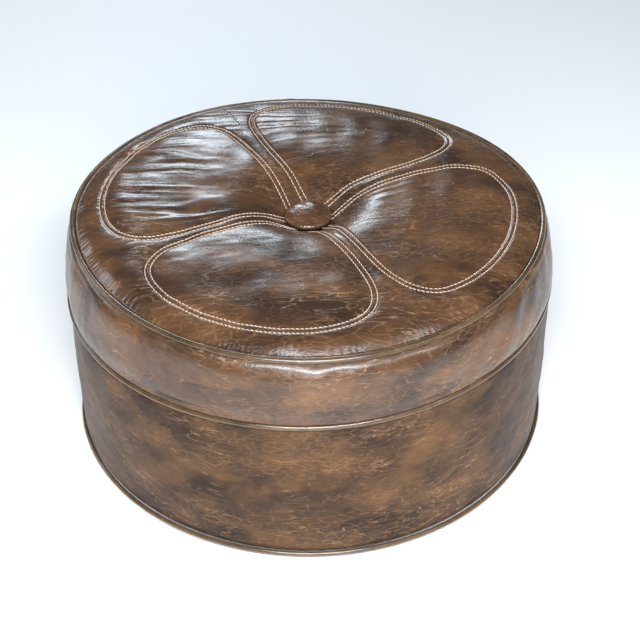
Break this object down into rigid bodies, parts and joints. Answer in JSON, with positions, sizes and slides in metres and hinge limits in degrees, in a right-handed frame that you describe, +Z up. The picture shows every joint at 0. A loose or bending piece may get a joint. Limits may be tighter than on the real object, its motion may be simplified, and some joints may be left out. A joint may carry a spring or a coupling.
{
  "type": "leather pouf",
  "caption": "Round leather hassock with piped seams, a quilted petal top with one deep button, a soft upper band and a firm drum below.",
  "frame": {"origin": "on the floor, on the drum's axis, at the height of the four glides' flat feet", "axes": "+Z up along the drum's axis; +X along the middle of one stitched petal"},
  "size_m": [0.5604, 0.5604, 0.2848],
  "materials": {
    "brown_leather": "satin",
    "sewing_thread": "matte",
    "cotton_cord": "matte",
    "white_wadding": "matte",
    "seat_foam": "matte",
    "plywood": "matte",
    "softwood": "matte",
    "fibreboard": "matte",
    "black_cloth": "matte",
    "bright_steel": "satin",
    "nickel": "polished"
  },
  "bodies": {
    "root": {"base_board": "plywood", "base_screw_1": "bright_steel", "base_screw_2": "bright_steel", "base_screw_3": "bright_steel", "base_screw_4": "bright_steel", "bottom_welt": "brown_leather", "bottom_welt_cord": "cotton_cord", "button_back": "bright_steel", "button_cover": "brown_leather", "button_eye": "bright_steel", "button_shell": "bright_steel", "deck_screw_1": "bright_steel", "deck_screw_2": "bright_steel", "deck_screw_3": "bright_steel", "deck_screw_4": "bright_steel", "drum_wall": "fibreboard", "dust_cover": "black_cloth", "glide_1": "nickel", "glide_2": "nickel", "glide_3": "nickel", "glide_4": "nickel", "lower_band": "brown_leather", "middle_welt": "brown_leather", "middle_welt_cord": "cotton_cord", "petal_stitching_1": "sewing_thread", "petal_stitching_2": "sewing_thread", "petal_stitching_3": "sewing_thread", "petal_stitching_4": "sewing_thread", "post_1": "softwood", "post_2": "softwood", "post_3": "softwood", "post_4": "softwood", "quilt_padding": "seat_foam", "seat_deck": "plywood", "seat_foam": "seat_foam", "seat_wadding": "white_wadding", "side_padding": "seat_foam", "top_panel": "brown_leather", "top_welt": "brown_leather", "top_welt_cord": "cotton_cord", "tufting_twine": "cotton_cord", "twine_toggle": "softwood", "upper_band": "brown_leather"}
  },
  "joints": []
}
